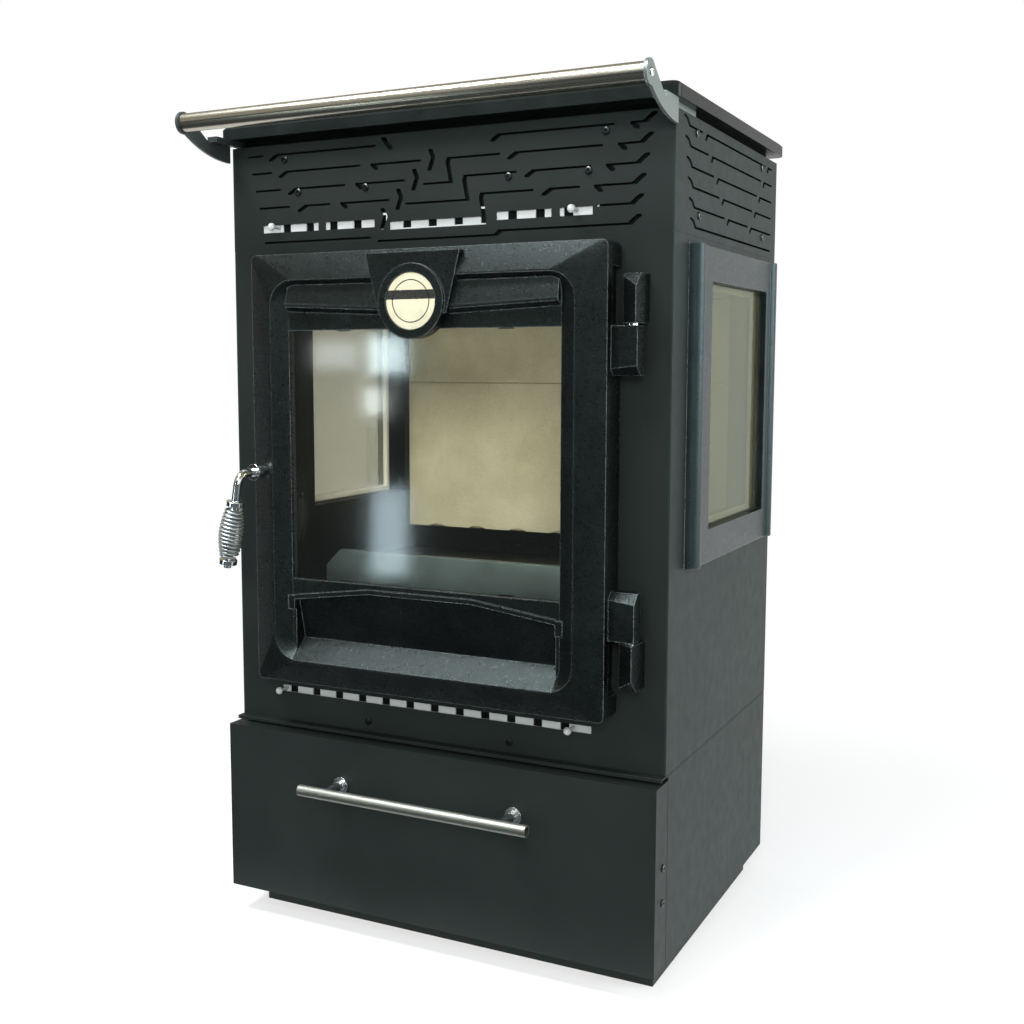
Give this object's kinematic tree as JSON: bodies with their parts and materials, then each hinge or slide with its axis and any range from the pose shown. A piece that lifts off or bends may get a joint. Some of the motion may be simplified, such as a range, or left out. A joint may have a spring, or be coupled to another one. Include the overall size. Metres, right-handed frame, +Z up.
{
  "type": "wood cookstove",
  "caption": "Wood stove with glass on three sides, cast door with wound-wire handle, flat top, towel rail, air sliders and a storage drawer in its base.",
  "frame": {"origin": "on the floor, at the middle of the body's width and depth", "axes": "+Z up; the door and drawer face -Y; +X is the side of the door hinges; the flue leaves along +Y"},
  "size_m": [0.5254, 0.4935, 0.8729],
  "materials": {
    "painted_steel": "matte heat-resistant paint, grey-black",
    "cast_iron": "painted grainy casting, near black",
    "galvanised_steel": "bright zinc-plated sheet",
    "brushed_steel": "brushed along its length",
    "bracket_steel": "satin pale grey",
    "chrome": "polished",
    "vermiculite": "pressed vermiculite board, beige and speckled",
    "rope": "knitted glass-fibre rope, dark grey",
    "fire_glass": "clear ceramic glass",
    "cream_enamel": "glossy cream enamel"
  },
  "bodies": {
    "stove": {"plinth": "painted_steel", "base_floor": "painted_steel", "base_left_side": "painted_steel", "base_right_side": "painted_steel", "base_back": "painted_steel", "base_top": "painted_steel", "drawer_runners": "galvanised_steel", "left_panel": "painted_steel", "right_panel": "painted_steel", "left_grille": "painted_steel", "right_grille": "painted_steel", "front_panel": "painted_steel", "front_grille": "painted_steel", "back_panel": "painted_steel", "body_floor": "painted_steel", "top_frame": "cast_iron", "top_plate": "cast_iron", "firebox_left_wall": "cast_iron", "firebox_right_wall": "cast_iron", "firebox_back_wall": "cast_iron", "firebox_floor": "cast_iron", "firebox_roof": "cast_iron", "firebox_front": "cast_iron", "baffle_plate": "vermiculite", "back_brick_lower": "vermiculite", "back_brick_upper": "vermiculite", "rear_air_rail": "cast_iron", "log_retainer": "cast_iron", "grate": "cast_iron", "ash_pan": "painted_steel", "left_window_frame": "cast_iron", "right_window_frame": "cast_iron", "left_window_glass": "fire_glass", "right_window_glass": "fire_glass", "flue_collar": "cast_iron", "grille_backplate": "painted_steel", "inlet_plate": "painted_steel", "rail_tube": "brushed_steel", "left_rail_bracket": "bracket_steel", "right_rail_bracket": "bracket_steel", "hinge_brackets": "cast_iron", "hinge_pins": "brushed_steel", "body_screws": "chrome", "latch_keeper": "brushed_steel"},
    "drawer": {"drawer_front": "painted_steel", "drawer_tray": "galvanised_steel", "drawer_bar": "chrome", "drawer_posts": "chrome", "drawer_screws": "chrome"},
    "primary_air": {"primary_slider": "galvanised_steel"},
    "secondary_air": {"secondary_slider": "galvanised_steel"},
    "door": {"door_frame": "cast_iron", "door_glass": "fire_glass", "door_gasket": "rope", "glass_clips": "brushed_steel", "medallion_boss": "cast_iron", "medallion_disc": "cream_enamel"},
    "handle": {"handle_lever": "chrome", "handle_coil": "chrome", "latch_cam": "brushed_steel"}
  },
  "joints": [
    {"name": "door_hinge", "type": "hinge", "parent": "stove", "child": "door", "pos_m": [0.218, -0.203, 0.5], "axis": [0, 0, 1], "range_deg": [0, 110]},
    {"name": "handle_turn", "type": "hinge", "parent": "door", "child": "handle", "pos_m": [-0.1855, -0.229, 0.503], "axis": [0, 1, 0], "range_deg": [0, 90]},
    {"name": "drawer_slide", "type": "slide", "parent": "stove", "child": "drawer", "axis": [0, -1, 0], "range_m": [0, 0.28]},
    {"name": "primary_air_slide", "type": "slide", "parent": "stove", "child": "primary_air", "axis": [1, 0, 0], "range_m": [0, 0.014]},
    {"name": "secondary_air_slide", "type": "slide", "parent": "stove", "child": "secondary_air", "axis": [1, 0, 0], "range_m": [0, 0.014]}
  ]
}
